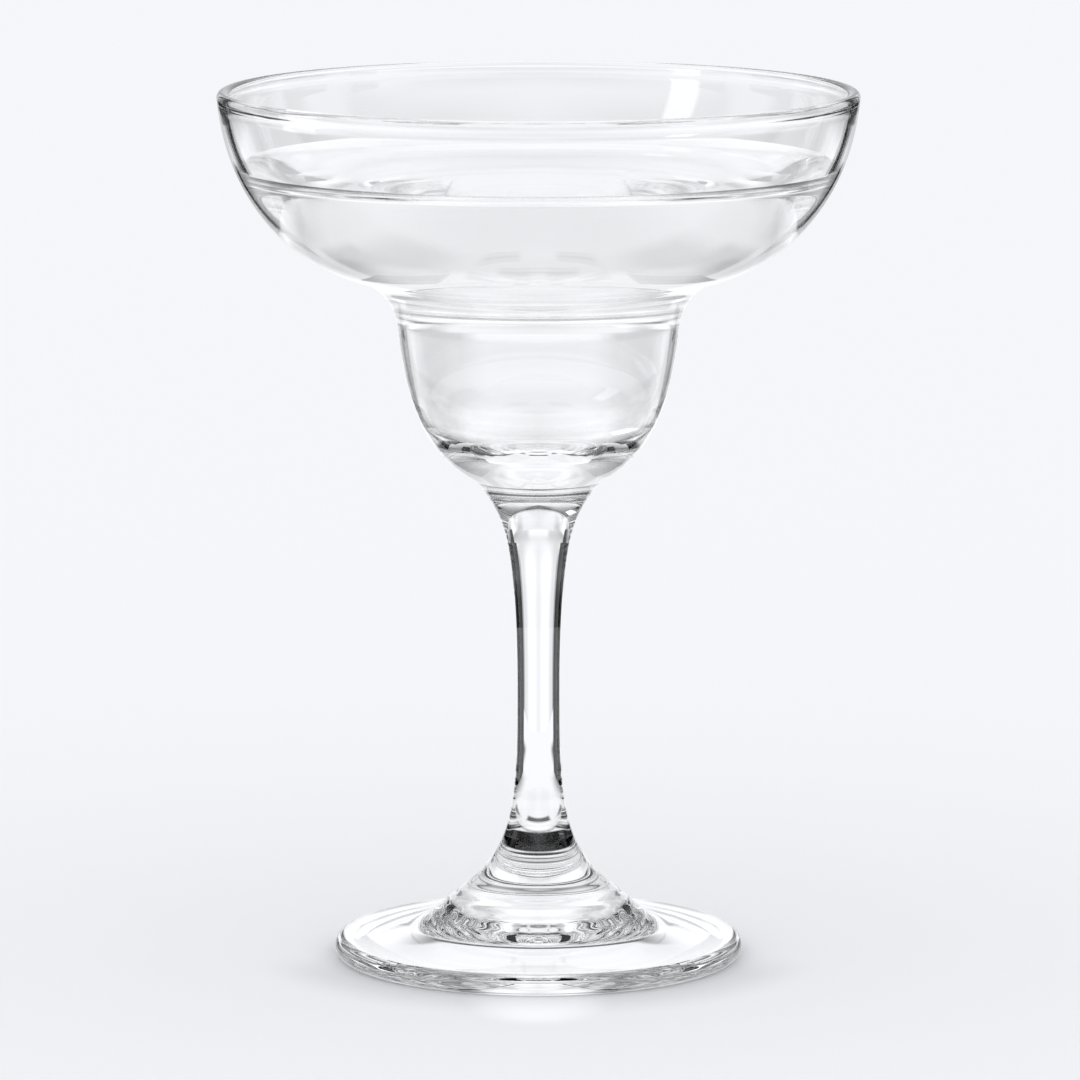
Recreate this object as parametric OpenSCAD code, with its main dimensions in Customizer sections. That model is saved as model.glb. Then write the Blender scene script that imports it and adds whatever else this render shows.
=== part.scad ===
// Margarita glass: a two-tier bowl on a drawn stem and a wide hollowed foot.
// Every piece is turned about the vertical axis. The glass stands on the plane z = 0.
// A station is [radius, height, lean]. The lean is the angle in degrees between the profile,
// followed downwards, and the vertical: above zero it closes in on the axis, below it opens out.

/* [Bowl] */
// Outer diameter over the rim
rim_d = 116; // [104:1:128]
// Height of the bowl, from its joint with the stem to the top of the rim
bowl_h = 71; // [64:0.5:80]
// Diameter of the fire-polished bead on the rim
rim_bead_d = 2.4; // [2.2:0.1:3]
// How far the bead stands out past the wall under it
rim_lip = 0.05; // [0:0.05:0.3]
// Lean of the wall just under the rim
rim_lean = 4; // [0:0.5:12]
// Wall thickness just under the rim
rim_wall = 1.6; // [1.2:0.1:2]
// Diameter low on the upper bowl, where its outline turns from round to hollow
shoulder_d = 66; // [60:1:76]
// Height of that turning point above the joint
shoulder_h = 37; // [34:0.5:42]
// Lean of the wall at that turning point
shoulder_lean = 74.5; // [62:0.5:80]
// Wall thickness at that turning point
shoulder_wall = 1.9; // [1.4:0.1:2.6]
// Outer diameter of the neck, where the lower cup begins
neck_d = 51; // [46:0.5:54]
// Height of the neck above the joint
neck_h = 28; // [25:0.5:31]
// Lean of the wall at the neck
neck_lean = 6; // [2:0.5:12]
// Wall thickness at the neck
neck_wall = 2.1; // [1.6:0.1:2.8]
// Thickness of the glass under the lower cup, from its floor down to the joint
cup_floor_t = 7; // [5:0.1:9]

/* [Joint under the bowl] */
// Diameter of the joint between the bowl and the stem
bowl_joint_d = 23.4; // [20:0.2:26]
// Lean of the outline at that joint
bowl_joint_lean = 62; // [50:1:68]

/* [Stem] */
// Length of the stem between its two joints
stem_h = 69; // [56:1:90]
// Diameter of the stem where its top flare ends
flare_d = 13.2; // [11:0.2:16]
// Length of the top flare, down from the joint with the bowl
flare_h = 8.2; // [6.5:0.1:10]
// Lean of the outline where the top flare ends
flare_lean = 19; // [12:1:26]
// Smallest diameter of the stem
waist_d = 7.9; // [6.5:0.1:10]
// Height of the smallest diameter above the joint with the foot
waist_h = 31; // [24:0.5:38]

/* [Joint over the foot] */
// Diameter of the joint between the stem and the foot
foot_joint_d = 16.2; // [14:0.2:19]
// Angle at which the outline opens out at that joint
foot_joint_spread = 32; // [24:1:40]

/* [Foot] */
// Diameter of the foot
foot_d = 74.6; // [68:0.2:84]
// Height of the foot, from the table to its joint with the stem
foot_h = 19; // [17:0.5:22]
// Thickness of the rounded edge of the foot
foot_edge_t = 4; // [3:0.1:5]
// Diameter of the cone where it is steepest above the plate
cone_d = 29.4; // [26:0.2:34]
// Height of that place above the table
cone_h = 12; // [10.5:0.1:13.5]
// Angle at which the outline opens out there
cone_spread = 51.5; // [44:0.5:58]
// Diameter where the cone has run out into the plate
plate_d = 48; // [44:0.5:54]
// Height of the plate there
plate_h = 5.7; // [5.2:0.1:7]
// Angle at which the outline opens out there
plate_spread = 80; // [74:1:86]
// Width of the flat ring that the glass stands on
rest_ring_w = 2; // [1:0.1:4]
// Height of the hollow under the middle of the foot
hollow_h = 6.5; // [3:0.1:8]
// Slope of the hollow where it starts at the ring
hollow_slope = 8; // [4:0.5:14]

/* [Hidden] */

// The colour of clear glass, with its share of opacity
glass_tint = [0.86, 0.9, 0.93, 0.45];

// Steps in each run of an outline, and round a full turn
run_steps = 14;
turn_steps = 96;

// The pull of a run's two ends on its curve, as shares of the straight way between them
belly_pull_shares = [0.3, 0.43];
shoulder_pull_shares = [0.23, 0.47];
cup_pull_shares = [0.35, 0.37];
cup_floor_pull_shares = [0.38, 0.55];
flare_pull_shares = [0.08, 0.47];
upper_stem_pull_shares = [0.2, 0.45];
lower_stem_pull_shares = [0.51, 0.25];
cone_top_pull_shares = [0.3, 0.39];
cone_foot_pull_shares = [0.44, 0.35];
plate_pull_shares = [0.35, 0.35];
hollow_pull_shares = [0.33, 0.3];

// Stations of the bowl, above its joint
rim_bead_r = rim_bead_d / 2;
rim_station = [rim_d / 2 - rim_lip, bowl_h - rim_bead_r, rim_lean];
shoulder_station = [shoulder_d / 2, shoulder_h, shoulder_lean];
neck_station = [neck_d / 2, neck_h, neck_lean];
bowl_joint_station = [bowl_joint_d / 2, 0, bowl_joint_lean];

// Stations of the stem, above its joint with the foot
stem_top_station = [bowl_joint_d / 2, stem_h, bowl_joint_lean];
flare_station = [flare_d / 2, stem_h - flare_h, flare_lean];
waist_station = [waist_d / 2, waist_h, 0];
stem_end_station = [foot_joint_d / 2, 0, -foot_joint_spread];

// Stations of the foot, above the table
foot_edge_r = foot_edge_t / 2;
foot_top_station = [foot_joint_d / 2, foot_h, -foot_joint_spread];
cone_station = [cone_d / 2, cone_h, -cone_spread];
plate_station = [plate_d / 2, plate_h, -plate_spread];
edge_station = [foot_d / 2 - foot_edge_r, foot_edge_t, -90];
ring_inner_station = [foot_d / 2 - foot_edge_r - rest_ring_w, 0, 90 + hollow_slope];
hollow_station = [0, hollow_h, 90];

// Unit steps along a profile that is followed downwards, and from its outside into the glass
function heading(lean) = [-sin(lean), -cos(lean)];
function inward(lean) = [-cos(lean), sin(lean)];

// A point of a cubic curve on four control points
function cubic(c, t) = pow(1 - t, 3) * c[0] + 3 * pow(1 - t, 2) * t * c[1]
    + 3 * (1 - t) * t * t * c[2] + pow(t, 3) * c[3];

// The direction of that curve
function cubic_way(c, t) = pow(1 - t, 2) * (c[1] - c[0]) + 2 * (1 - t) * t * (c[2] - c[1])
    + t * t * (c[3] - c[2]);

function place(station) = [station[0], station[1]];

// Control points of the run between two stations
function controls(from, to, pulls) = let(way = norm(place(to) - place(from))) [
    place(from),
    place(from) + pulls[0] * way * heading(from[2]),
    place(to) - pulls[1] * way * heading(to[2]),
    place(to)
];

// Points of a run, without its last one
function run(from, to, pulls) = let(c = controls(from, to, pulls))
    [for (i = [0 : run_steps - 1]) cubic(c, i / run_steps)];

// The same run moved into the glass by a wall that changes evenly along it
function inner_run(from, to, pulls, from_wall, to_wall) = let(c = controls(from, to, pulls))
    [for (i = [0 : run_steps - 1]) let(
        t = i / run_steps,
        way = cubic_way(c, t),
        wall = from_wall + (to_wall - from_wall) * t
    ) cubic(c, t) + wall * [way[1], -way[0]] / norm(way)];

function backwards(points) = [for (i = [len(points) - 1 : -1 : 0]) points[i]];

// Outline of the outside of the bowl, from the rim down to the joint
function bowl_outside() = concat(
    run(rim_station, shoulder_station, belly_pull_shares),
    run(shoulder_station, neck_station, shoulder_pull_shares),
    run(neck_station, bowl_joint_station, cup_pull_shares),
    [place(bowl_joint_station)]
);

// Outline of the inside of the bowl, from the rim down to the middle of the cup's floor
neck_inside = place(neck_station) + neck_wall * inward(neck_lean);
neck_inside_station = [neck_inside[0], neck_inside[1], neck_lean];
floor_station = [0, cup_floor_t, 90];
function bowl_inside() = concat(
    inner_run(rim_station, shoulder_station, belly_pull_shares, rim_wall, shoulder_wall),
    inner_run(shoulder_station, neck_station, shoulder_pull_shares, shoulder_wall, neck_wall),
    run(neck_inside_station, floor_station, cup_floor_pull_shares),
    [place(floor_station)]
);

// Turns an outline about the vertical axis
module turned(outline) {
    rotate_extrude($fn = turn_steps)
        polygon(outline);
}

// A round ring about the vertical axis
module ring(centre_r, centre_z, thick_r) {
    rotate_extrude($fn = turn_steps)
        translate([centre_r, centre_z])
            circle(r = thick_r, $fn = turn_steps);
}

// The two-tier bowl with its bead and the thick glass under its cup
module bowl() {
    color(glass_tint)
        translate([0, 0, foot_h + stem_h]) {
            turned(concat(bowl_outside(), [[0, 0]], backwards(bowl_inside())));
            ring(rim_d / 2 - rim_bead_r, bowl_h - rim_bead_r, rim_bead_r);
        }
}

// The solid stem, flared at both ends
module stem() {
    color(glass_tint)
        translate([0, 0, foot_h])
            turned(concat(
                run(stem_top_station, flare_station, flare_pull_shares),
                run(flare_station, waist_station, upper_stem_pull_shares),
                run(waist_station, stem_end_station, lower_stem_pull_shares),
                [place(stem_end_station), [0, 0], [0, stem_h]]
            ));
}

// The foot: a cone that runs out into a plate, with a rounded edge and a hollow underneath
module foot() {
    color(glass_tint) {
        turned(concat(
            run(foot_top_station, cone_station, cone_top_pull_shares),
            run(cone_station, plate_station, cone_foot_pull_shares),
            run(plate_station, edge_station, plate_pull_shares),
            [place(edge_station), [edge_station[0], 0]],
            run(ring_inner_station, hollow_station, hollow_pull_shares),
            [place(hollow_station), [0, foot_h]]
        ));
        ring(edge_station[0], foot_edge_r, foot_edge_r);
    }
}

bowl();
stem();
foot();
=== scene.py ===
"""Looks of the margarita glass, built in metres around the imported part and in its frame."""
import math

import bmesh
import bpy
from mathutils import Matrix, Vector


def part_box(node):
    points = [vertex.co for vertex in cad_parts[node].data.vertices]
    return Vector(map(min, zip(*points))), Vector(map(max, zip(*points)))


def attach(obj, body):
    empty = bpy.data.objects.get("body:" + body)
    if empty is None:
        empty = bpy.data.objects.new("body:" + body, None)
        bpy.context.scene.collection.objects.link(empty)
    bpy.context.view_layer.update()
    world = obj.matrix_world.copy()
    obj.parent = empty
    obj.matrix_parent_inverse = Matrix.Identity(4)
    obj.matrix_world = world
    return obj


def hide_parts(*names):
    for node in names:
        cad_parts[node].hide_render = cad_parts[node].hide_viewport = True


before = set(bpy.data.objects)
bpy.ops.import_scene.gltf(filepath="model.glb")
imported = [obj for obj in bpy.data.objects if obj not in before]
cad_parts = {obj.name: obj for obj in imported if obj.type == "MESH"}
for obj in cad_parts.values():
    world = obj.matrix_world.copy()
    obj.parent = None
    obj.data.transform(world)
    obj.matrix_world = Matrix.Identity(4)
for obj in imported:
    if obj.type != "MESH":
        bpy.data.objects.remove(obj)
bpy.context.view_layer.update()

MM = 0.001

# Steps round a full turn and along the stretches of an outline
TURN_STEPS = 192
RUN_STEPS = 26
FINE_STEPS = 64
BEAD_STEPS = 26
BRIDGE_STEPS = 8
EDGE_STEPS = 24
MENISCUS_STEPS = 48
FLAT_STEPS = 8
# Heights, and distances from the axis, count as equal within this
TOUCH = 1e-7

# Places read from the frame
BOWL_LOW, BOWL_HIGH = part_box("bowl")
FOOT_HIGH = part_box("foot")[1]
BOWL_JOINT_Z = BOWL_LOW.z
RIM_R = BOWL_HIGH.x
RIM_Z = BOWL_HIGH.z
FOOT_R = FOOT_HIGH.x
FOOT_JOINT_Z = FOOT_HIGH.z

# Stations of the profile: radius, height and lean, as in the part
RIM_BEAD_R = 1.2 * MM
RIM_LIP = 0.05 * MM
RIM_LEAN = 4
RIM_WALL = 1.6 * MM
SHOULDER_WALL = 1.9 * MM
NECK_WALL = 2.1 * MM
CUP_FLOOR_T = 7 * MM
RIM = (RIM_R - RIM_LIP, RIM_Z - RIM_BEAD_R, RIM_LEAN)
SHOULDER = (33 * MM, BOWL_JOINT_Z + 37 * MM, 74.5)
NECK = (25.5 * MM, BOWL_JOINT_Z + 28 * MM, 6)
BOWL_JOINT = (11.7 * MM, BOWL_JOINT_Z, 62)
CUP_FLOOR = (0, BOWL_JOINT_Z + CUP_FLOOR_T, 90)
FLARE = (6.6 * MM, BOWL_JOINT_Z - 8.2 * MM, 19)
WAIST = (3.95 * MM, FOOT_JOINT_Z + 31 * MM, 0)
FOOT_JOINT = (8.1 * MM, FOOT_JOINT_Z, -32)
CONE = (14.7 * MM, 12 * MM, -51.5)
PLATE = (24 * MM, 5.7 * MM, -80)
FOOT_EDGE_R = 2 * MM
FOOT_EDGE = (FOOT_R - FOOT_EDGE_R, 2 * FOOT_EDGE_R, -90)
REST_RING_W = 2 * MM
HOLLOW_START = (FOOT_R - FOOT_EDGE_R - REST_RING_W, 0, 98)
HOLLOW_TOP = (0, 6.5 * MM, 90)
# Where the bead ends, in degrees round it, and how far under the rim the inside wall takes over
BEAD_END = 215
INSIDE_START = 3.2 * MM

# Pull of a run's two ends, as shares of the straight way between them
BELLY_SHARES = (0.3, 0.43)
SHOULDER_SHARES = (0.23, 0.47)
CUP_SHARES = (0.35, 0.37)
CUP_FLOOR_SHARES = (0.38, 0.55)
FLARE_SHARES = (0.08, 0.47)
UPPER_STEM_SHARES = (0.2, 0.45)
LOWER_STEM_SHARES = (0.51, 0.25)
CONE_TOP_SHARES = (0.3, 0.39)
CONE_FOOT_SHARES = (0.44, 0.35)
PLATE_SHARES = (0.35, 0.35)
HOLLOW_SHARES = (0.33, 0.3)
BRIDGE_SHARE = 0.35

# Shallow rings left by turning and pressing: from and to radius, waves and height
CONE_RIPPLES = (8.2 * MM, 23.5 * MM, 7, 0.065 * MM)
CUP_RIPPLES = (0.5 * MM, 13 * MM, 5, 0.03 * MM)

# The drink in the bowl: its level, how far wetting lifts it, its angle with the glass in degrees,
# the slope at which its curve counts as flat, and how deep it is set into the glass
DRINK_LEVEL = 144.1 * MM
CAPILLARY = 2.7 * MM
CONTACT_ANGLE = 30
MENISCUS_END = 0.004
WETTING_OVERLAP = 0.02 * MM

# Clear materials: name, refractive index, grain, waves per metre, their depth, and wear
GLASS_IOR = 1.52
DRINK_IOR = 1.333
BLOWN = ("blown_glass", GLASS_IOR, (1, 1, 2), 90, 0.003 * MM, 0.01)
DRAWN = ("drawn_glass", GLASS_IOR, (1, 1, 0.08), 500, 0.002 * MM, 0.02)
PRESSED = ("pressed_glass", GLASS_IOR, (1, 1, 1), 160, 0.0015 * MM, 0.01)
DRINK = ("clear_drink", DRINK_IOR, (1, 1, 1), 45, 0.01 * MM, 0)
WAVE_DETAIL = 1.5
# Worn spots: how much finer than the waves, their detail, and the noise levels they lie between
SPOT_FINENESS = 6
SPOT_DETAIL = 3
SPOT_LEVELS = (0.55, 0.8)

# Camera: the photograph's distance, height, tilt and focal length in pixels of a 1080 image
IMAGE_PX = 1080
FOCAL_PX = 7419
SENSOR_W = 36
CAMERA_PLACE = Vector((0.27, -1332.8, 288.0)) * MM
CAMERA_TILT = 0.1571
CLIP_NEAR, CLIP_FAR = 0.05, 50

# Times that light may pass through, reflect in or go straight on through glass
BOUNCES = 32
GLOSSY_BOUNCES = 16

# Studio. Stage levels are plain brightness, where 1 is white, and angles are in degrees
FLOOR_COLOUR = (0.918, 0.926, 0.955)
CARD_TINT = (0.985, 0.992, 1.02)
FLOOR_R = 8
FLOOR_SIDES = 64
# Painted light and shade of the floor that refracted rays meet, as a glow: its level, and bands laid
# over it as level, distance to either side, place in front or behind, and how soft they end
FLOOR_LEVEL = 0.97
FLOOR_BANDS = ((1.12, (-1, 9), (-9, -0.03), 0.01), (0.17, (0.055, 0.115), (-0.03, 0.1), 0.02),
               (0.12, (0.075, 0.13), (0.05, 0.16), 0.012),
               (0.1, (-1, 0.012), (0.0365, 0.048), 0.002),
               (0.2, (0.021, 0.038), (0.02, 0.037), 0.003))
# The painted shade round the foot as level and radii, how far it reaches to the sides and to the
# back, and its painted bright middle, a band; the painted light on the floor under the foot as level
# and radius, and the painted black shade on the floor under the stem as level, radius and front
SHADE = (0.2, 0.0365, 0.051)
SHADE_AREA = (0.036, 0.012)
SHADE_MIDDLE = (1.15, (-1, 0.012), (-0.07, -0.03), 0.003)
UNDER_FOOT = (1.0, 0.0365)
UNDER_STEM = (0.0, 0.022, -0.004)
EDGE_SOFT = 0.0015
SHADE_SOFT = 3 * EDGE_SOFT
# What the camera sees of the floor, with painted light and shade. The painted light that the foot
# gathers
# in front of it, a glow: place, half sizes, strength and where it fades out, in squared half sizes
PAINTED_CAUSTIC = (-0.04, (0.011, 0.017), 0.16, 1.6)
# The painted shade along the front of the foot: level, radii, how soft it ends, and where it fades
# out
PAINTED_CONTACT_SHADE = (0.85, (0.036, 0.046), 0.008, (-0.02, 0))
# The back panel: how far it stands behind the glass, and how far it reaches to the sides and up
PANEL_Y = 0.211
PANEL_HALF, PANEL_TOP = 0.42, 0.42
# Brightness of the back panel at heights in metres, at distances to either side of its middle
PANEL_ROWS = (
    (0.074, ((0, 0.88), (0.05, 1.2), (0.09, 0.8), (0.11, 0.8), (0.125, 0.3), (0.15, 0.7),
             (0.175, 1.35), (0.3, 1.3), (0.42, 0.4))),
    (0.104, ((0, 0.9), (0.03, 0.88), (0.05, 0.75), (0.105, 0.72), (0.15, 1.0), (0.21, 0.5),
             (0.42, 0.4))),
    (0.112, ((0, 0.98), (0.034, 1.0), (0.05, 0.68), (0.105, 0.65), (0.15, 0.8), (0.21, 0.3),
             (0.42, 0.35))),
    (0.126, ((0, 1.03), (0.034, 1.04), (0.05, 0.72), (0.105, 0.6), (0.13, 0.5), (0.175, 0.55),
             (0.21, 0.15), (0.42, 0.3))),
    (0.132, ((0, 0.86), (0.03, 0.89), (0.06, 0.9), (0.075, 0.72), (0.105, 0.6), (0.13, 0.5),
             (0.175, 0.55), (0.21, 0.1), (0.42, 0.3))),
    (0.15, ((0, 0.83), (0.03, 0.93), (0.06, 0.9), (0.075, 0.68), (0.09, 0.6), (0.12, 1.0),
            (0.15, 1.5), (0.2, 0.2), (0.42, 0.6))),
    (0.3, ((0, 1.03), (0.105, 1.5), (0.125, 0.7), (0.175, 1.3), (0.42, 0.8))))
# The room's shell: radius, steps round and up, and the height below which it is open
SHELL_R = 3
SHELL_STEPS = (96, 48)
SHELL_LOW = -0.2
# Brightness of the room at elevations, at azimuths to either side of straight behind the glass
ROOM_ROWS = (
    (8, ((0, 0.34), (45, 0.23), (60, 0), (76, 0), (83, 0.8), (97, 0.8), (105, 0.64), (120, 1.3),
         (135, 0.3), (160, 0), (180, 0.74))),
    (18, ((0, 0.46), (45, 0.35), (60, 0.05), (76, 0.03), (83, 0.8), (97, 0.8), (104, 0), (120, 0.35),
          (140, 0.87), (180, 1.5))),
    (30, ((0, 0.72), (60, 0.45), (75, 0.5), (90, 0), (140, 0), (180, 1.1))),
    (45, ((0, 1.14), (75, 1.2), (90, 0.3), (120, 0.25), (140, 0), (160, 0.1), (180, 0.5))),
    (60, ((0, 1.0), (75, 0.95), (90, 0.85), (120, 0.4), (140, 0.05), (180, 0.1))),
    (75, ((0, 0.93), (60, 0.88), (90, 0.93), (120, 0.6), (140, 0.2), (180, 0.15))))
# Flags: dark cards to both sides of the glass, as name, distance, from and to, heights and level
FLAGS = (("stem_flag", 0.045, (0.019, 0.075), (0.01, 0.088), 0.0),
         ("cup_flag", 0.085, (0.084, 0.113), (0.092, 0.125), 0.0),
         ("wall_flag", 0.085, (0.034, 0.066), (0.125, 0.17), 0.0),
         ("rim_flag", 0.064, (0, 0.018), (0.15, 0.172), 0.05))
# A small bright card whose reflection makes the white bar inside the bowl, as name, its two
# ends, heights and level
BAR_CARD = ("bar_card", (-0.0929, -0.0434), (-0.1046, -0.0194), (0.139, 0.22), 2.2)


# Profiles

def heading(lean):
    angle = math.radians(lean)
    return Vector((-math.sin(angle), -math.cos(angle)))


def run(start, end, pulls, walls=None, count=RUN_STEPS):
    """Points and directions from one station down to the next; walls move them into the glass."""
    first, last = Vector(start[:2]), Vector(end[:2])
    way = (last - first).length
    second = first + pulls[0] * way * heading(start[2])
    third = last - pulls[1] * way * heading(end[2])
    made = []
    for i in range(count + 1):
        t = i / count
        s = 1 - t
        place = s**3 * first + 3 * s * s * t * second + 3 * s * t * t * third + t**3 * last
        course = s * s * (second - first) + 2 * s * t * (third - second) + t * t * (last - third)
        course.normalize()
        if walls:
            wall = walls[0] + (walls[1] - walls[0]) * t
            place = place + wall * Vector((course.y, -course.x))
        made.append((place, course))
    return made


def chain(*runs):
    """Joins runs end to end, with each shared point once."""
    made = list(runs[0])
    for part in runs[1:]:
        made += part[1:]
    return made


def upwards(outline):
    return [(place, -course) for place, course in reversed(outline)]


def rippled(outline, near, far, waves, height):
    """Adds shallow rings to an outline between two radii, with its directions found anew."""
    places = []
    for place, course in outline:
        share = (place.x - near) / (far - near)
        swell = math.sin(math.pi * share) ** 2 if 0 < share < 1 else 0
        rise = height * swell * math.sin(2 * math.pi * waves * share)
        places.append(place + rise * Vector((course.y, -course.x)))
    made = [(places[0], outline[0][1])]
    for before, place, after in zip(places, places[1:], places[2:]):
        made.append((place, (after - before).normalized()))
    return made + [(places[-1], outline[-1][1])]


def arc(centre, radius, start, end, steps):
    """An arc with its directions, counter-clockwise, in degrees."""
    made = []
    for i in range(steps + 1):
        angle = math.radians(start + (end - start) * i / steps)
        place = Vector(centre) + radius * Vector((math.cos(angle), math.sin(angle)))
        made.append((place, Vector((-math.sin(angle), math.cos(angle)))))
    return made


def bridge(start, end, pull):
    """A smooth run from one point with its direction to another."""
    (first, course), (last, last_course) = start, end
    way = (last - first).length * pull
    second, third = first + course * way, last - last_course * way
    made = []
    for i in range(BRIDGE_STEPS + 1):
        t = i / BRIDGE_STEPS
        s = 1 - t
        place = s**3 * first + 3 * s * s * t * second + 3 * s * t * t * third + t**3 * last
        way_here = s * s * (second - first) + 2 * s * t * (third - second) + t * t * (last - third)
        made.append((place, way_here.normalized()))
    return made


def bowl_outside():
    return chain(run(RIM, SHOULDER, BELLY_SHARES), run(SHOULDER, NECK, SHOULDER_SHARES),
                 run(NECK, BOWL_JOINT, CUP_SHARES))


def bowl_inside():
    inward = Vector((-math.cos(math.radians(NECK[2])), math.sin(math.radians(NECK[2]))))
    neck_inside = Vector(NECK[:2]) + NECK_WALL * inward
    return chain(run(RIM, SHOULDER, BELLY_SHARES, (RIM_WALL, SHOULDER_WALL)),
                 run(SHOULDER, NECK, SHOULDER_SHARES, (SHOULDER_WALL, NECK_WALL)),
                 rippled(run((*neck_inside, NECK[2]), CUP_FLOOR, CUP_FLOOR_SHARES, count=FINE_STEPS),
                         *CUP_RIPPLES))


# Meshes

def turned_rings(places):
    """The vertices of an outline turned about the vertical axis, and each place's ring of them.
    A place on the axis is one vertex, and one that comes twice keeps its ring."""
    verts, rings = [], []
    for i, place in enumerate(places):
        if i and place == places[i - 1]:
            rings.append(rings[-1])
        elif place.x < TOUCH:
            rings.append([len(verts)] * TURN_STEPS)
            verts.append((0, 0, place.y))
        else:
            rings.append(range(len(verts), len(verts) + TURN_STEPS))
            for j in range(TURN_STEPS):
                angle = 2 * math.pi * j / TURN_STEPS
                verts.append((place.x * math.cos(angle), place.x * math.sin(angle), place.y))
    return verts, rings


def turned_faces(outline, rings, seams):
    """The faces between neighbouring rings, whether each lies in a seam, and their normals."""
    faces, in_seam, normals = [], [], []
    for i, ((place, course), (after, course_after)) in enumerate(zip(outline, outline[1:])):
        if place == after:
            continue
        seam = any(abs(place.y - z) < TOUCH and abs(after.y - z) < TOUCH for z in seams)
        courses = [(after - place).normalized()] * 2 if seam else [course, course_after]
        for j in range(TURN_STEPS):
            corners = [(0, j), (0, j + 1), (1, j + 1), (1, j)]
            if place.x < TOUCH:
                corners.remove((0, j + 1))
            elif after.x < TOUCH:
                corners.remove((1, j + 1))
            faces.append([rings[i + end][k % TURN_STEPS] for end, k in corners])
            in_seam.append(seam)
            for end, k in corners:
                angle = 2 * math.pi * k / TURN_STEPS
                out, up = courses[end].y, -courses[end].x
                normals.append((out * math.cos(angle), out * math.sin(angle), up))
    return faces, in_seam, normals


def lathe(name, outline, materials, seams=()):
    """A closed solid turned about the vertical axis, from an outline that starts and ends on it.
    Flat stretches at the heights of the seams take the second material. A place that comes
    twice, with two directions, makes a sharp edge."""
    verts, rings = turned_rings([place for place, course in outline])
    faces, in_seam, normals = turned_faces(outline, rings, seams)
    mesh = bpy.data.meshes.new(name)
    mesh.from_pydata(verts, [], faces)
    for face, seam in zip(mesh.polygons, in_seam):
        face.use_smooth = True
        face.material_index = 1 if seam else 0
    mesh.normals_split_custom_set(normals)
    mesh.validate()
    for material in materials:
        mesh.materials.append(material)
    piece = bpy.data.objects.new(name, mesh)
    bpy.context.scene.collection.objects.link(piece)
    return piece


def axis_point(z, outward):
    return (Vector((0, z)), Vector((1 if outward else -1, 0)))


def bowl_outline():
    bead_centre = (RIM_R - RIM_BEAD_R, RIM_Z - RIM_BEAD_R)
    bead = arc(bead_centre, RIM_BEAD_R, RIM_LEAN, BEAD_END, BEAD_STEPS)
    inner = [point for point in bowl_inside() if point[0].y < RIM_Z - INSIDE_START]
    return chain([axis_point(BOWL_JOINT_Z, True)] + upwards(bowl_outside())[:-1] + [bead[0]], bead,
                 bridge(bead[-1], inner[0], BRIDGE_SHARE), inner)


def stem_outline():
    side = chain(run(BOWL_JOINT, FLARE, FLARE_SHARES), run(FLARE, WAIST, UPPER_STEM_SHARES),
                 run(WAIST, FOOT_JOINT, LOWER_STEM_SHARES))
    return [axis_point(FOOT_JOINT_Z, True)] + upwards(side) + [axis_point(BOWL_JOINT_Z, False)]


def foot_outline():
    cone = chain(run(FOOT_JOINT, CONE, CONE_TOP_SHARES, count=FINE_STEPS),
                 run(CONE, PLATE, CONE_FOOT_SHARES, count=FINE_STEPS))
    top = chain(rippled(cone, *CONE_RIPPLES), run(PLATE, FOOT_EDGE, PLATE_SHARES))
    edge = arc((FOOT_EDGE[0], FOOT_EDGE_R), FOOT_EDGE_R, -90, 90, EDGE_STEPS)
    hollow = run(HOLLOW_START, HOLLOW_TOP, HOLLOW_SHARES)
    return chain(upwards(hollow), edge, upwards(top)) + [axis_point(FOOT_JOINT_Z, False)]


def wet_wall():
    """The drink's side: the bowl's inside moved a hair into the glass, up to the contact line."""
    wall = [(place + WETTING_OVERLAP * Vector((-course.y, course.x)), course)
            for place, course in bowl_inside()]
    above = None
    for i, (place, course) in enumerate(wall):
        slope = math.radians(90 - CONTACT_ANGLE) - math.atan2(-course.x, -course.y)
        over = place.y - DRINK_LEVEL - 2 * CAPILLARY * math.sin(slope / 2)
        if over < 0:
            share = above / (above - over)
            before, after = wall[i - 1], wall[i]
            contact = (before[0].lerp(place, share), before[1].lerp(course, share).normalized())
            return [contact] + wall[i:]
        above = over
    return wall


def drink_outline():
    """The drink's side, and its surface with the curve that wetting gives it at the wall."""
    wall = wet_wall()
    contact, course = wall[0]
    steep = math.radians(90 - CONTACT_ANGLE) - math.atan2(-course.x, -course.y)
    surface, r, before = [], contact.x, steep
    for i in range(MENISCUS_STEPS + 1):
        slope = steep * (MENISCUS_END / steep) ** (i / MENISCUS_STEPS)
        fall = 2 * CAPILLARY * (math.sin(before / 2) - math.sin(slope / 2))
        r -= fall / math.tan((before + slope) / 2)
        height = DRINK_LEVEL + 2 * CAPILLARY * math.sin(slope / 2)
        surface.append((Vector((r, height)), Vector((-math.cos(slope), -math.sin(slope)))))
        before = slope
    surface[0] = (contact, surface[0][1])
    surface += [(Vector((r * (1 - i / FLAT_STEPS), height)), Vector((-1, 0)))
                for i in range(1, FLAT_STEPS + 1)]
    under = upwards(wall)
    under[0] = (Vector((0, under[0][0].y)), under[0][1])
    return under + surface


# Materials

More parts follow.
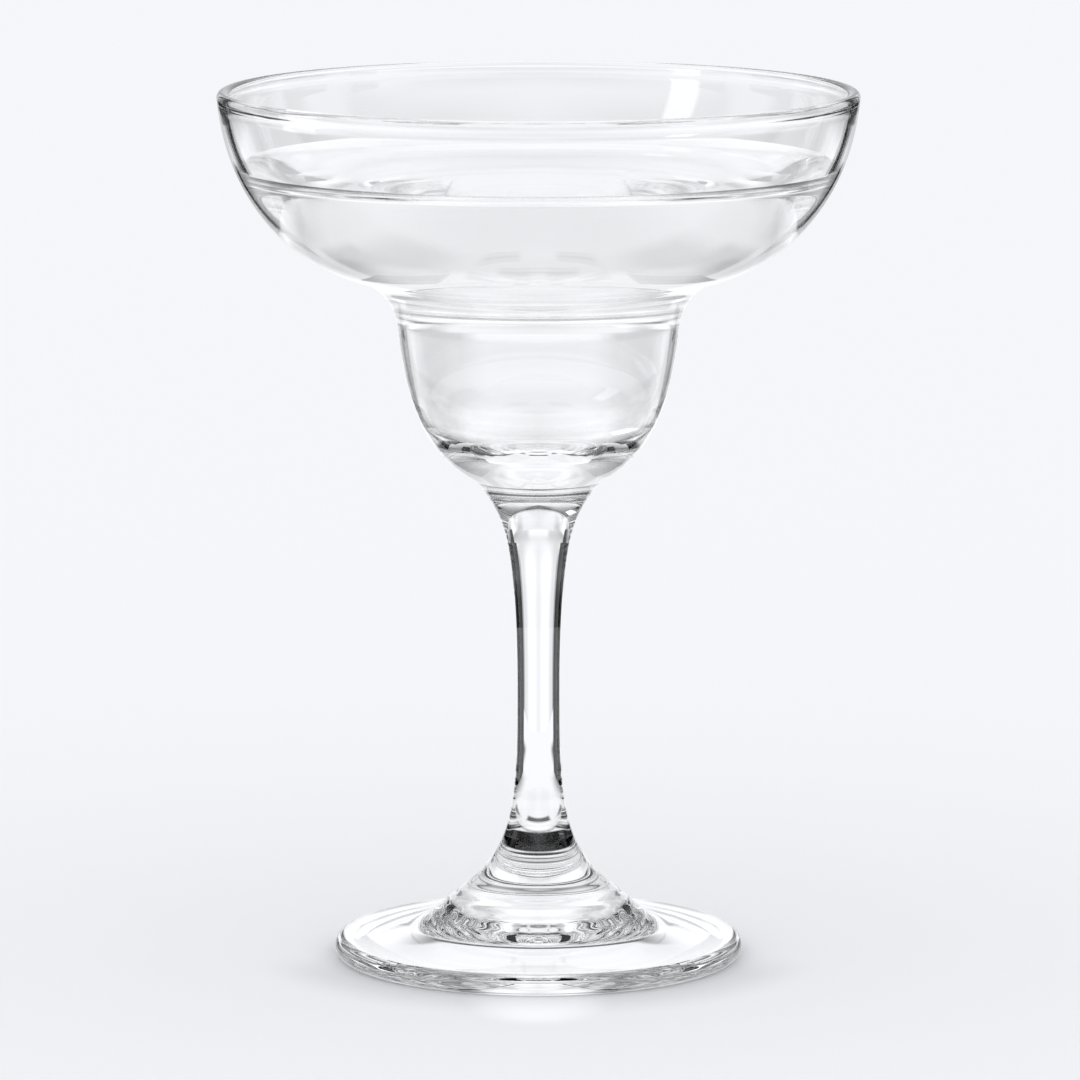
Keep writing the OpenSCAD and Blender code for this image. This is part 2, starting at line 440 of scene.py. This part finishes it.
class Net:
    """Adds and links the nodes of one material or world."""

    def __init__(self, owner, kind="Material"):
        owner.use_nodes = True
        self.nodes, self.links = owner.node_tree.nodes, owner.node_tree.links
        self.nodes.clear()
        self.end = self.nodes.new("ShaderNodeOutput" + kind)

    def feed(self, socket, value):
        if isinstance(value, bpy.types.NodeSocket):
            self.links.new(value, socket)
        else:
            socket.default_value = value

    def add(self, kind, inputs=(), **settings):
        """A node with its settings, and its inputs by name or number."""
        node = self.nodes.new("ShaderNode" + kind)
        for name, value in settings.items():
            setattr(node, name, value)
        for name, value in dict(inputs).items():
            self.feed(node.inputs[name], value)
        return node

    def math(self, operation, *values):
        node = self.add("Math", operation=operation)
        for socket, value in zip(node.inputs, values):
            self.feed(socket, value)
        return node.outputs[0]

    def ease(self, value, low, high, start, end):
        """A smooth step from one value to another."""
        return self.add("MapRange", {"Value": value, "From Min": low, "From Max": high,
                                     "To Min": start, "To Max": end},
                        interpolation_type="SMOOTHSTEP").outputs[0]

    def finish(self, shader):
        self.links.new(shader.outputs[0], self.end.inputs["Surface"])


def new_material(name):
    material = bpy.data.materials.new(name)
    return material, Net(material)


def clear_material(name, ior, grain, scale, depth, wear):
    """Clear and colourless, with faint waves drawn out along the grain and slightly worn spots."""
    material, net = new_material(name)
    place = net.add("TexCoord").outputs["Object"]
    drawn = net.add("Mapping", {"Vector": place, "Scale": grain}).outputs[0]
    waves = net.add("TexNoise", {"Vector": drawn, "Scale": scale, "Detail": WAVE_DETAIL}).outputs[0]
    spots = net.add("TexNoise", {"Vector": place, "Scale": SPOT_FINENESS * scale,
                                 "Detail": SPOT_DETAIL}).outputs[0]
    bump = net.add("Bump", {"Strength": 1, "Distance": depth, "Height": waves}).outputs[0]
    net.finish(net.add("BsdfPrincipled", {"Base Color": (1, 1, 1, 1), "IOR": ior,
                                          "Roughness": net.ease(spots, *SPOT_LEVELS, 0, wear),
                                          "Transmission Weight": 1, "Normal": bump}))
    return material


def seam_material():
    """Lets everything through, because no gap is left where two pieces are fused."""
    material, net = new_material("fused_seam")
    net.finish(net.add("BsdfTransparent"))
    return material


# The glass and its drink

def make_glass():
    """Three fused pieces, each in place of its node of the part."""
    pieces = (("bowl", bowl_outline(), BLOWN, (BOWL_JOINT_Z,)),
              ("stem", stem_outline(), DRAWN, (BOWL_JOINT_Z, FOOT_JOINT_Z)),
              ("foot", foot_outline(), PRESSED, (FOOT_JOINT_Z,)))
    seam = seam_material()
    for node, outline, kind, seams in pieces:
        piece = lathe(node + "_glass", outline, [clear_material(*kind), seam], seams)
        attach(piece, "root")
        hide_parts(node)


def make_drink():
    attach(lathe("drink", drink_outline(), [clear_material(*DRINK)]), "root")


# The studio, which isn't part of the glass: the floor and the cards

def steps(net, value, levels):
    """Straight steps between the levels that a value has at given places."""
    total = levels[0][1]
    for (near, before), (far, after) in zip(levels, levels[1:]):
        total = net.math("ADD", total, net.add("MapRange", {
            "Value": value, "From Min": near, "From Max": far, "To Min": 0,
            "To Max": after - before}).outputs[0])
    return total


def sheet(net, along, up, rows):
    """Levels along one way, which pass in straight steps from row to row along the other."""
    total = steps(net, along, rows[0][1])
    for (low, before), (high, after) in zip(rows, rows[1:]):
        turn = net.add("MapRange", {"Value": up, "From Min": low, "From Max": high}).outputs[0]
        change = net.math("SUBTRACT", steps(net, along, after), steps(net, along, before))
        total = net.math("ADD", total, net.math("MULTIPLY", change, turn))
    return total


def painted(net, under, level, *shares):
    """A level laid over what is under it, where all the shares are one."""
    cover = shares[0]
    for share in shares[1:]:
        cover = net.math("MULTIPLY", cover, share)
    return net.math("ADD", under, net.math("MULTIPLY", cover, net.math("SUBTRACT", level, under)))


def within(net, value, low, high, soft):
    """One between two values and zero outside them, with soft ends."""
    rise = net.ease(value, low - soft, low + soft, 0, 1)
    return net.math("MULTIPLY", rise, net.ease(value, high - soft, high + soft, 1, 0))


def floor_glow(net, place):
    """The floor as refracted and reflected rays meet it, a glow of painted light and shade: dark to
    the sides and round the foot, bright in front and under the foot, and black under the stem."""
    x, y, z = net.add("SeparateXYZ", {0: place}).outputs
    aside = net.math("ABSOLUTE", x)
    distance = net.add("VectorMath", {0: place}, operation="LENGTH").outputs["Value"]

    def band(total, level, across, along, soft):
        return painted(net, total, level, within(net, aside, *across, soft),
                       within(net, y, *along, soft))

    total = FLOOR_LEVEL
    for values in FLOOR_BANDS:
        total = band(total, *values)
    # Painted shade round the foot, with its painted bright middle
    level, near, far = SHADE
    side, back = SHADE_AREA
    total = painted(net, total, level, within(net, distance, near, far, EDGE_SOFT),
                    within(net, aside, -1, side, SHADE_SOFT),
                    within(net, y, -1, back, SHADE_SOFT))
    total = band(total, *SHADE_MIDDLE)
    # Painted light under the foot, then painted black shade under the stem
    level, radius = UNDER_FOOT
    total = painted(net, total, level, within(net, distance, -1, radius, EDGE_SOFT))
    level, radius, front = UNDER_STEM
    return painted(net, total, level, within(net, distance, -1, radius, SHADE_SOFT),
                   within(net, y, front, 1, EDGE_SOFT))


def floor_look(net, place):
    """Painted shade in the floor's colour by place, and a painted glow for the soft light that the
    foot gathers on it.
    """
    x, y, z = net.add("SeparateXYZ", {0: place}).outputs
    distance = net.add("VectorMath", {0: place}, operation="LENGTH").outputs["Value"]
    level, (near, far), soft, (full, none) = PAINTED_CONTACT_SHADE
    shade = painted(net, 1, level, within(net, distance, near, far, soft),
                    net.ease(y, full, none, 1, 0))
    middle, (across, along), strength, end = PAINTED_CAUSTIC
    aside = net.math("POWER", net.math("DIVIDE", x, across), 2)
    ahead = net.math("POWER", net.math("DIVIDE", net.math("SUBTRACT", y, middle), along), 2)
    return shade, net.ease(net.math("ADD", aside, ahead), 0, end, strength, 0)


def floor_material():
    """Pale and matt to the camera and to soft light, with a painted shade along the front of the
    foot and a painted glow in front of it; all other rays meet the glowing pattern of painted light
    and shade.
    """
    material, net = new_material("floor")
    ray = net.add("LightPath").outputs
    seen = net.math("MAXIMUM", ray["Is Camera Ray"], ray["Is Diffuse Ray"])
    place = net.add("TexCoord").outputs["Object"]
    shade, painted_caustic = floor_look(net, place)
    # Painted shade along the front of the foot darkens the floor's colour
    colour = net.add("VectorMath", {0: FLOOR_COLOUR, "Scale": shade}, operation="SCALE").outputs[0]
    pale = net.add("BsdfDiffuse", {"Color": colour}).outputs[0]
    # Painted light: a glow in front of the foot, added to the floor as emission
    light = net.add("Emission", {"Strength": painted_caustic}).outputs[0]
    lit = net.add("AddShader", {0: pale, 1: light}).outputs[0]
    # The glow of painted light and shade that refracted and reflected rays meet
    level = floor_glow(net, place)
    tint = net.add("VectorMath", {0: CARD_TINT, "Scale": level}, operation="SCALE").outputs[0]
    met = net.add("Emission", {"Color": tint}).outputs[0]
    net.finish(net.add("MixShader", {0: seen, 1: met, 2: lit}))
    return material


def make_floor():
    verts, faces = [(0, 0, 0)], []
    for j in range(FLOOR_SIDES):
        angle = 2 * math.pi * j / FLOOR_SIDES
        verts.append((FLOOR_R * math.cos(angle), FLOOR_R * math.sin(angle), 0))
        faces.append((0, j + 1, (j + 1) % FLOOR_SIDES + 1))
    mesh = bpy.data.meshes.new("floor")
    mesh.from_pydata(verts, [], faces)
    material = floor_material()
    material.cycles.emission_sampling = "NONE"
    mesh.materials.append(material)
    floor = bpy.data.objects.new("floor", mesh)
    bpy.context.scene.collection.objects.link(floor)


def make_world():
    """Plain white light on the floor; the camera sees the floor's own colour at the horizon."""
    world = bpy.data.worlds.new("studio")
    net = Net(world, "World")
    seen = net.add("LightPath").outputs["Is Camera Ray"]
    colour = net.add("MixRGB", {"Fac": seen, "Color1": (1, 1, 1, 1), "Color2": (*FLOOR_COLOUR, 1)})
    net.finish(net.add("Background", {"Color": colour.outputs[0], "Strength": 1}))
    bpy.context.scene.world = world


def glow(name, build):
    """An emitting material whose brightness the given function builds from the object's place."""
    material, net = new_material(name)
    place = net.add("TexCoord").outputs["Object"]
    net.finish(net.add("Emission", {"Color": (*CARD_TINT, 1), "Strength": build(net, place)}))
    material.cycles.emission_sampling = "NONE"
    return material


def panel_glow(net, place):
    x, y, z = net.add("SeparateXYZ", {0: place}).outputs
    return sheet(net, net.math("ABSOLUTE", x), z, PANEL_ROWS)


def shell_glow(net, place):
    """The room round the glass, with soft lights and dark parts to its sides."""
    way = net.add("VectorMath", {0: place}, operation="NORMALIZE").outputs[0]
    x, y, z = net.add("SeparateXYZ", {0: way}).outputs
    azimuth = net.math("MULTIPLY", net.math("ARCTAN2", x, y), 180 / math.pi)
    height = net.math("MULTIPLY", net.math("ARCSINE", z), 180 / math.pi)
    return sheet(net, net.math("ABSOLUTE", azimuth), height, ROOM_ROWS)


def card(name, mesh, material):
    """Stage seen in the glass only: not by the camera, and it lights nothing else."""
    mesh.materials.append(material)
    made = bpy.data.objects.new(name, mesh)
    made.visible_camera = made.visible_diffuse = made.visible_shadow = False
    made.visible_volume_scatter = False
    bpy.context.scene.collection.objects.link(made)


def upright(name, start, end, heights):
    """A flat upright rectangle over the line between two points on the floor."""
    low, top = heights
    mesh = bpy.data.meshes.new(name)
    mesh.from_pydata([(*start, low), (*end, low), (*end, top), (*start, top)], [], [(0, 1, 2, 3)])
    return mesh


def make_cards():
    """The back panel, the dark flags on both sides and the bright card for the bar."""
    panel = upright("back_panel", (-PANEL_HALF, PANEL_Y), (PANEL_HALF, PANEL_Y), (0, PANEL_TOP))
    card("back_panel", panel, glow("panel_glow", panel_glow))
    sides = [(name + end, (side * x, near), (side * x, far), heights, level)
             for name, x, (near, far), heights, level in FLAGS
             for end, side in (("_left", -1), ("_right", 1))]
    for name, start, end, heights, level in sides + [BAR_CARD]:
        card(name, upright(name, start, end, heights), glow(name, lambda net, place: level))


def make_shell():
    """The room: a large ball, open below the floor."""
    shell = bpy.data.meshes.new("room_shell")
    around, up = SHELL_STEPS
    ball = bmesh.new()
    bmesh.ops.create_uvsphere(ball, u_segments=around, v_segments=up, radius=SHELL_R)
    below = [v for v in ball.verts if v.co.z < SHELL_LOW]
    bmesh.ops.delete(ball, geom=below, context="VERTS")
    ball.to_mesh(shell)
    ball.free()
    card("room_shell", shell, glow("room_glow", shell_glow))


def make_camera():
    data = bpy.data.cameras.new("camera")
    data.sensor_width = SENSOR_W
    data.lens = FOCAL_PX * SENSOR_W / IMAGE_PX
    data.clip_start, data.clip_end = CLIP_NEAR, CLIP_FAR
    camera = bpy.data.objects.new("camera", data)
    camera.location = CAMERA_PLACE
    camera.rotation_euler = (math.pi / 2 - CAMERA_TILT, 0, 0)
    bpy.context.scene.collection.objects.link(camera)
    bpy.context.scene.camera = camera


def set_render():
    scene = bpy.context.scene
    scene.view_settings.view_transform = "Standard"
    scene.cycles.max_bounces = BOUNCES
    scene.cycles.transmission_bounces = BOUNCES
    scene.cycles.transparent_max_bounces = BOUNCES
    scene.cycles.glossy_bounces = GLOSSY_BOUNCES


make_camera()
make_glass()
make_drink()
make_world()
make_cards()
make_shell()
make_floor()
set_render()
